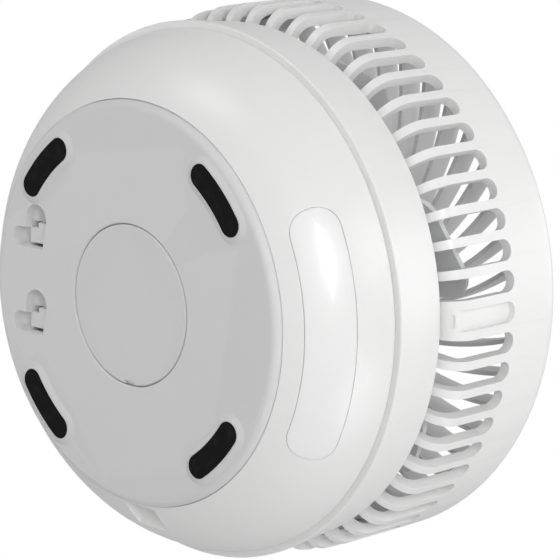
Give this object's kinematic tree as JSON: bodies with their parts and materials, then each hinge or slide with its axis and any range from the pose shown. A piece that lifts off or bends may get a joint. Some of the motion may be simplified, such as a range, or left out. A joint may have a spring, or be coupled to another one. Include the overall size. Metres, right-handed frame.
{
  "type": "folding desk fan",
  "caption": "Round rechargeable desk and wall fan folded flat on its base, with slotted head, hinge, night-light window, hanging pockets and rubber feet.",
  "frame": {"origin": "centre of the plane that the four rubber feet stand on, under the centre of the base disc", "axes": "+Z from the feet up to the front guard of the folded head, -Y towards the light window, +Y towards the hinge, +X towards the charging port"},
  "size_m": [0.19, 0.1925, 0.1088],
  "materials": {
    "shell_white": "satin moulded plastic",
    "deck_white": "satin moulded plastic",
    "head_white": "satin moulded plastic",
    "guard_white": "satin moulded plastic",
    "badge_grey": "gloss",
    "window_diffuser": "frosted milky diffuser",
    "pan_grey": "fine matt texture",
    "cover_grey": "fine matt texture",
    "pad_black": "matt",
    "impeller_grey": "satin",
    "spinner_grey": "gloss",
    "inner_black": "matt",
    "cell_blue": "shrink sleeve",
    "board_green": "solder resist",
    "chip_black": "moulded epoxy",
    "led_yellow": "phosphor",
    "steel": "zinc plated",
    "bearing_steel": "ground",
    "port_metal": "stamped",
    "core_steel": "laminated",
    "copper": "enamelled copper wire",
    "magnet_grey": "bonded ferrite",
    "motor_metal": "cast",
    "washer_white": "acetal",
    "button_white": "satin",
    "lens_clear": "clear"
  },
  "bodies": {
    "base": {"base_pan": "pan_grey", "foot_port_back": "pad_black", "foot_far_back": "pad_black", "foot_far_front": "pad_black", "foot_port_front": "pad_black", "base_shell": "shell_white", "deck_shell": "deck_white", "light_window": "window_diffuser", "case_screws": "steel", "led_board": "board_green", "led_chips": "led_yellow", "charge_board": "board_green", "usb_socket": "port_metal", "battery_cradle": "inner_black", "battery_cell_1": "cell_blue", "battery_cell_2": "cell_blue", "battery_cell_3": "cell_blue", "battery_cell_4": "cell_blue", "main_board": "board_green", "main_board_chips": "chip_black", "control_board": "board_green", "speed_switch": "chip_black", "light_switch": "chip_black", "status_lens": "lens_clear", "hinge_pin": "steel", "hinge_washers": "washer_white"},
    "head": {"rear_guard": "head_white", "front_guard": "guard_white", "front_badge": "badge_grey", "hinge_leaf": "steel", "leaf_screws": "steel", "motor_mount": "motor_metal", "mount_screws": "steel", "rear_bearing": "bearing_steel", "front_bearing": "bearing_steel", "stator_core": "core_steel", "stator_coils": "copper"},
    "rotor": {"rotor_shaft": "steel", "magnet_ring": "magnet_grey", "rotor_can": "steel", "impeller": "impeller_grey", "spinner_nut": "spinner_grey"},
    "speed_button": {"speed_button": "button_white"},
    "light_button": {"light_button": "button_white"},
    "service_cover": {"service_cover": "cover_grey"}
  },
  "joints": [
    {"name": "head_fold", "type": "hinge", "parent": "base", "child": "head", "pos_m": [0, 0.093, 0.0553], "axis": [-1, 0, 0], "range_deg": [0, 105]},
    {"name": "fan_spin", "type": "hinge", "parent": "head", "child": "rotor", "pos_m": [0, 0, 0.07], "axis": [0, 0, 1], "continuous": true},
    {"name": "speed_press", "type": "slide", "parent": "base", "child": "speed_button", "axis": [0, 0, -1], "range_m": [0, 0.0006], "stiffness_N_per_m": 900, "springref_m": -0.0004},
    {"name": "light_press", "type": "slide", "parent": "base", "child": "light_button", "axis": [0, 0, -1], "range_m": [0, 0.0006], "stiffness_N_per_m": 900, "springref_m": -0.0004},
    {"name": "cover_release", "type": "slide", "parent": "base", "child": "service_cover", "axis": [0, 0, -1], "range_m": [0, 0.012]}
  ]
}
